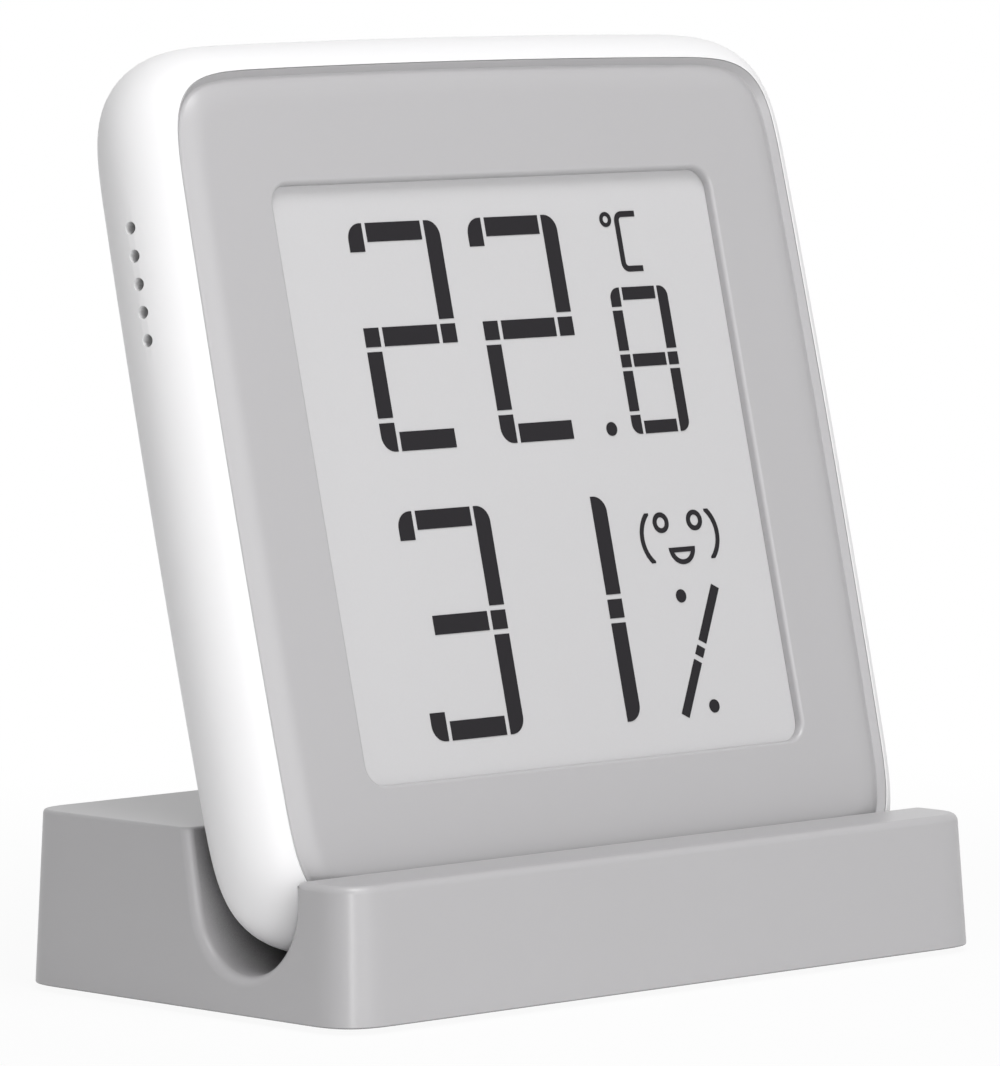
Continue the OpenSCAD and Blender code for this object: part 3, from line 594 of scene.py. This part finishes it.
class Paint:
    # a node tree under construction
    def __init__(self, tree):
        self.tree = tree
        tree.nodes.clear()

    def node(self, kind, settings=None, sockets=None, out=0):
        made = self.tree.nodes.new(kind)
        for name, value in (settings or {}).items():
            setattr(made, name, value)
        for name, value in (sockets or {}).items():
            if isinstance(value, Wire):
                self.tree.links.new(value.socket, made.inputs[name])
            else:
                made.inputs[name].default_value = value
        return Wire(self, made.outputs[out]) if made.outputs else None

    def places(self):
        # the piece's own coordinates in millimetres
        spot = self.node("ShaderNodeTexCoord", out="Object")
        return self.node("ShaderNodeVectorMath", {"operation": "SCALE"}, {0: spot, "Scale": 1 / mm})

    def noise(self, spot, scale, detail=2.0, rough=0.5):
        return self.node(
            "ShaderNodeTexNoise", {}, {"Vector": spot, "Scale": scale, "Detail": detail, "Roughness": rough},
        )

    def blend(self, share, first, second):
        return self.node("ShaderNodeMix", {"data_type": "RGBA"}, {0: share, 6: first, 7: second}, out=2)

    def limits(self, value, low, high, toLow, toHigh):
        return self.node(
            "ShaderNodeMapRange", {"interpolation_type": "SMOOTHSTEP"},
            {"Value": value, "From Min": low, "From Max": high, "To Min": toLow, "To Max": toHigh},
        )

    def bump(self, height, depth, strength):
        # depth is the height of the relief in millimetres
        return self.node(
            "ShaderNodeBump", {}, {"Height": height, "Distance": depth * mm, "Strength": strength},
        )

    def surface(self, sockets):
        shader = self.node("ShaderNodeBsdfPrincipled", {}, sockets)
        self.node("ShaderNodeOutputMaterial", {}, {"Surface": shader})


def newPaint(name):
    finish = bpy.data.materials.new(name)
    finish.use_nodes = True
    return finish, Paint(finish.node_tree)


def rgb(red, green, blue):
    return (red, green, blue, 1.0)


# What the mouldings have in common
moulding = {
    "driftScale": 0.06,
    "driftGloss": 0.025,  # how far the drift changes the roughness
    "grainGloss": 0.015,  # and the grain
    "grainDetail": 3.0,
    "grainRough": 0.6,
    "relief": 0.2,
    "shade": 0.15,        # painted shade: tone deep in a gap, as a share of the colour
    "shadeFull": 0.08,    # share of open air where the shade is full
    "shadeEnd": 0.55,     # and where it ends
    "shadeRays": 8,
}


def mouldedPlastic(name, colour, shift, roughness, grain, depth, specular=0.5, paintedShadeReach=1.0):
    # injection moulding: a fine eroded grain, with slight drift in tone and gloss, and shade painted into the
    # colour in deep gaps
    finish, paint = newPaint(name)
    spot = paint.places()
    drift = paint.noise(spot, moulding["driftScale"])
    fine = paint.noise(spot, grain, moulding["grainDetail"], moulding["grainRough"])
    dark, pale = (rgb(*(part * share for part in colour)) for share in (1 - shift, 1 + shift))
    tone = paint.blend(drift, dark, pale)
    # painted shade: the colour darkens in deep gaps and holes and between parts, out to the given reach in
    # millimetres
    free = paint.node(
        "ShaderNodeAmbientOcclusion", {"samples": moulding["shadeRays"]}, {"Distance": paintedShadeReach * mm},
        out="AO",
    )
    # colour of the painted shade
    shade = rgb(*(part * moulding["shade"] for part in colour))
    tone = paint.blend(paint.limits(free, moulding["shadeFull"], moulding["shadeEnd"], 0.0, 1.0), shade, tone)
    # the noise lies about one half, so half of its reach is taken off first
    steady = roughness - (moulding["grainGloss"] + moulding["driftGloss"]) / 2
    paint.surface({
        "Base Color": tone,
        "Roughness": steady + moulding["grainGloss"] * fine + moulding["driftGloss"] * drift,
        "Specular IOR Level": specular,
        "Normal": paint.bump(fine, depth, moulding["relief"]),
    })
    return finish


def displayPaper():
    finish, paint = newPaint("display film")
    spot = paint.places()
    speck = paint.noise(spot, 9.0, 2.0)
    cloud = paint.noise(spot, 0.05, 1.0)
    mixed = 0.7 * speck + 0.3 * cloud
    tone = paint.blend(mixed, rgb(0.585, 0.580, 0.588), rgb(0.625, 0.620, 0.630))
    paint.surface({
        "Base Color": tone, "Roughness": 0.52 + 0.1 * speck, "Specular IOR Level": 0.35,
        "Normal": paint.bump(speck, 0.003, 0.4),
    })
    return finish


def displayInk():
    finish, paint = newPaint("display ink")
    spot = paint.places()
    speck = paint.noise(spot, 10.0, 2.0)
    tone = paint.blend(speck, rgb(0.009, 0.008, 0.010), rgb(0.015, 0.013, 0.016))
    paint.surface({
        "Base Color": tone, "Roughness": 0.5 + 0.15 * speck, "Specular IOR Level": 0.2,
        "Normal": paint.bump(speck, 0.003, 0.4),
    })
    return finish


def padRubber():
    finish, paint = newPaint("pad rubber")
    spot = paint.places()
    cells = paint.node("ShaderNodeTexVoronoi", {"feature": "F1"}, {"Vector": spot, "Scale": 2.4})
    fine = paint.noise(spot, 5.0, 4.0)
    tone = paint.blend(fine, rgb(0.030, 0.030, 0.032), rgb(0.055, 0.055, 0.057))
    paint.surface({
        "Base Color": tone, "Roughness": 0.72 + 0.15 * fine, "Specular IOR Level": 0.3,
        "Normal": paint.bump(cells, 0.05, 0.5),
    })
    return finish


def gasketFoam():
    finish, paint = newPaint("gasket foam")
    spot = paint.places()
    cells = paint.node("ShaderNodeTexVoronoi", {"feature": "SMOOTH_F1"}, {"Vector": spot, "Scale": 5.0})
    tone = paint.blend(cells, rgb(0.012, 0.012, 0.013), rgb(0.04, 0.04, 0.042))
    paint.surface({
        "Base Color": tone, "Roughness": 0.9 - 0.1 * cells, "Specular IOR Level": 0.2,
        "Normal": paint.bump(cells, 0.06, 0.7),
    })
    return finish


def flexFilm():
    finish, paint = newPaint("flex film")
    spot = paint.places()
    stripes = paint.node(
        "ShaderNodeTexWave", {"wave_type": "BANDS", "bands_direction": "X", "wave_profile": "SIN"},
        {"Vector": spot, "Scale": 0.62, "Distortion": 0.0},
    )
    tracks = paint.limits(stripes, 0.45, 0.6, 0.0, 1.0)
    haze = paint.noise(spot, 1.5, 2.0)
    tone = paint.blend(tracks, rgb(0.42, 0.17, 0.03), rgb(0.62, 0.30, 0.07))
    paint.surface({
        "Base Color": tone, "Roughness": 0.25 + 0.15 * haze, "Coat Weight": 0.3,
        "Normal": paint.bump(tracks, 0.02, 0.5),
    })
    return finish


def boardLaminate():
    finish, paint = newPaint("board laminate")
    spot = paint.places()
    weave = paint.node("ShaderNodeTexBrick", {"offset": 0.5}, {"Vector": spot, "Scale": 1.4}, out="Fac")
    cloud = paint.noise(spot, 0.6, 3.0)
    tone = paint.blend(0.6 * cloud + 0.3 * weave, rgb(0.008, 0.085, 0.03), rgb(0.02, 0.20, 0.075))
    paint.surface({
        "Base Color": tone, "Roughness": 0.28 + 0.12 * cloud, "Coat Weight": 0.4,
        "Normal": paint.bump(weave, 0.012, 0.5),
    })
    return finish


def capCeramic():
    finish, paint = newPaint("cap ceramic")
    spot = paint.places()
    grit = paint.noise(spot, 7.0, 4.0)
    tone = paint.blend(grit, rgb(0.34, 0.23, 0.13), rgb(0.52, 0.38, 0.24))
    paint.surface({
        "Base Color": tone, "Roughness": 0.45 + 0.2 * grit, "Normal": paint.bump(grit, 0.01, 0.5),
    })
    return finish


def nickelSteel():
    finish, paint = newPaint("nickel steel")
    spot = paint.places()
    drawn = paint.node("ShaderNodeMapping", {}, {"Vector": spot, "Scale": (1.0, 1.0, 14.0)})
    lines = paint.noise(drawn, 1.6, 4.0, 0.65)
    smudge = paint.noise(spot, 0.35, 2.0)
    tone = paint.blend(smudge, rgb(0.56, 0.55, 0.53), rgb(0.68, 0.67, 0.65))
    paint.surface({
        "Base Color": tone, "Metallic": 1.0, "Roughness": 0.22 + 0.18 * lines,
        "Normal": paint.bump(lines, 0.006, 0.5),
    })
    return finish


finishes = {
    "gray_plastic": mouldedPlastic(
        "gray moulding", (0.468, 0.461, 0.471), shift=0.008, roughness=0.35, grain=7.0, depth=0.001,
        specular=0.75, paintedShadeReach=4.0,
    ),
    "white_plastic": mouldedPlastic(
        "white moulding", (0.930, 0.925, 0.933), shift=0.003, roughness=0.42, grain=6.0, depth=0.001,
    ),
    "paper_display": displayPaper(),
    "display_ink": displayInk(),
    "pad_rubber": padRubber(),
    "gasket_foam": gasketFoam(),
    "flex_film": flexFilm(),
    "ivory_plastic": mouldedPlastic(
        "ivory moulding", (0.78, 0.72, 0.58), shift=0.02, roughness=0.45, grain=5.0, depth=0.008,
    ),
    "board_laminate": boardLaminate(),
    "black_plastic": mouldedPlastic(
        "black moulding", (0.018, 0.018, 0.019), shift=0.15, roughness=0.5, grain=6.0, depth=0.01,
    ),
    "ceramic": capCeramic(),
    "steel": nickelSteel(),
}


def coat(piece, finish):
    piece.data.materials.clear()
    piece.data.materials.append(finishes[finish])


def dress(piece, body, finish, *nodes):
    coat(piece, finish)
    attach(piece, body)
    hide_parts(*nodes)


dress(makeShell(), "head", "white_plastic", "rear_shell")
dress(makeBezel(), "head", "gray_plastic", "front_bezel")
dress(makeStand(), "stand", "gray_plastic", "stand_body")
dress(makeDoor(), "door", "white_plastic", "battery_door")
dress(makeButton(), "button", "gray_plastic", "unit_button")
dress(makePad(), "stand", "pad_rubber", "foot_pad")
print("mouldings made")

# CAD nodes that keep their own shape
keptNodes = {
    "gray_plastic": ["base_plate"],
    "white_plastic": ["battery_holder"],
    "paper_display": ["epaper_panel"],
    "display_ink": ["display_segments"],
    "gasket_foam": ["panel_gasket", "panel_foam"],
    "flex_film": ["panel_flex"],
    "ivory_plastic": ["flex_connector"],
    "board_laminate": ["main_board"],
    "black_plastic": ["controller_chip", "climate_sensor", "switch_base", "switch_plunger"],
    "ceramic": ["capacitors"],
    "steel": [
        "stand_screws", "board_screws", "clock_crystal", "negative_contact", "positive_contact", "coin_cell",
    ],
}
for finish, names in keptNodes.items():
    for name in names:
        coat(frame["nodes"][name], finish)
print("finishes given")


def seenRays(paint):
    # rays of the eye, of reflections and through clear pieces
    return sum(
        paint.node("ShaderNodeLightPath", out=kind)
        for kind in ("Is Camera Ray", "Is Glossy Ray", "Is Transmission Ray")
    )


# Floor that fades into the white background and keeps a soft shadow
floorLook = {
    "radius": 0.6,
    "steps": 96,
    "below": 0.02,        # gap under the part, in millimetres
    "tone": 0.86,
    "veil": 0.93,         # share of plain white near the part
    "fadeStart": 0.045,
    "fadeEnd": 0.14,
}


def makeFloor():
    mesh = bmesh.new()
    bmesh.ops.create_circle(mesh, cap_ends=True, segments=floorLook["steps"], radius=floorLook["radius"])
    floor = keepPiece("floor", mesh, Matrix.Translation((0, 0, -floorLook["below"] * mm)))
    finish, paint = newPaint("floor sweep")
    spot = paint.node("ShaderNodeNewGeometry", out="Position")
    away = paint.node("ShaderNodeVectorMath", {"operation": "LENGTH"}, {0: spot}, out="Value")
    fade = paint.limits(away, floorLook["fadeStart"], floorLook["fadeEnd"], floorLook["veil"], 1.0)
    tone = floorLook["tone"]
    matte = paint.node("ShaderNodeBsdfDiffuse", {}, {"Color": rgb(tone, tone, tone)})
    white = paint.node("ShaderNodeEmission", {}, {"Color": rgb(1, 1, 1), "Strength": 1.0})
    shader = paint.node("ShaderNodeMixShader", {}, {0: seenRays(paint) * fade, 1: matte, 2: white})
    paint.node("ShaderNodeOutputMaterial", {}, {"Surface": shader})
    floor.data.materials.append(finish)


# Light: white all round for the eye, a soft level from each side for shading, and lamps
skyLevel = {"left": 0.29, "right": 0.24, "front": 0.08, "back": 0.30, "below": 0.20, "above": 0.20}
lamps = {
    "front lamp": {
        "azimuth": 10.0, "elevation": 12.0, "distance": 0.4, "level": 0.34, "wide": 0.36, "tall": 0.36,
    },
    "high lamp": {
        "azimuth": 20.0, "elevation": 65.0, "distance": 0.5, "level": 0.58, "wide": 0.30, "tall": 0.30,
    },
    "corner strip": {
        "azimuth": 40.5, "elevation": 3.0, "distance": 0.6, "level": 0.16, "wide": 0.06, "tall": 0.12,
    },
}


def makeWorld():
    world = bpy.data.worlds.new("studio")
    bpy.context.scene.world = world
    world.use_nodes = True
    paint = Paint(world.node_tree)
    way = paint.node("ShaderNodeTexCoord", out="Generated")
    level = 0
    for axis, low, high in (("X", "left", "right"), ("Y", "front", "back"), ("Z", "below", "above")):
        part = paint.node("ShaderNodeSeparateXYZ", {}, {0: way}, out=axis)
        ahead = paint.node("ShaderNodeMath", {"operation": "GREATER_THAN"}, {0: part, 1: 0.0})
        level = level + part * part * (skyLevel[low] + (skyLevel[high] - skyLevel[low]) * ahead)
    strength = level + seenRays(paint) * (1.0 - level)
    shade = paint.node("ShaderNodeBackground", {}, {"Color": rgb(1, 1, 1), "Strength": strength})
    paint.node("ShaderNodeOutputWorld", {}, {"Surface": shade})


def wayTo(look):
    # direction of a lamp or the eye, where azimuth counts to the left of the front
    side, up = math.radians(look["azimuth"]), math.radians(look["elevation"])
    return Vector((-math.sin(side) * math.cos(up), -math.cos(side) * math.cos(up), math.sin(up)))


def makeLamp(name, look):
    # level 1 renders a surface that faces the lamp about as its colour is written
    data = bpy.data.lights.new(name, "AREA")
    data.shape = "ELLIPSE"
    data.size, data.size_y = look["wide"], look["tall"]
    data.energy = look["level"] * math.pi ** 2 * look["distance"] ** 2
    lamp = bpy.data.objects.new(name, data)
    bpy.context.scene.collection.objects.link(lamp)
    way = wayTo(look)
    middle = (cadBox[0] + cadBox[1]) / 2
    lamp.location = middle + look["distance"] * way
    lamp.rotation_euler = way.to_track_quat("Z", "Y").to_euler()


makeFloor()
makeWorld()
for name, look in lamps.items():
    makeLamp(name, look)
print("floor and light set")

camera = {
    "azimuth": 41.624,
    "elevation": 4.543,
    "roll": -0.726,
    "place": (-352.26, -396.27, 73.03),
    "lens": 271.78,
    "sensor": 36.0,
    "nearest": 0.01,
}


def makeCamera():
    data = bpy.data.cameras.new("camera")
    data.sensor_fit = "HORIZONTAL"
    data.sensor_width = camera["sensor"]
    data.lens = camera["lens"]
    data.clip_start = camera["nearest"]
    side = math.radians(camera["azimuth"])
    back = wayTo(camera)
    right = Vector((math.cos(side), -math.sin(side), 0))
    above = back.cross(right)
    turn = Matrix((right, above, back)).transposed().to_4x4()
    eye = bpy.data.objects.new("camera", data)
    bpy.context.scene.collection.objects.link(eye)
    place = Matrix.Translation(Vector(camera["place"]) * mm)
    eye.matrix_world = place @ turn @ Matrix.Rotation(math.radians(camera["roll"]), 4, "Z")
    bpy.context.scene.camera = eye


makeCamera()
bpy.context.scene.view_settings.view_transform = "Standard"
print("camera set")

bpy.context.view_layer.update()
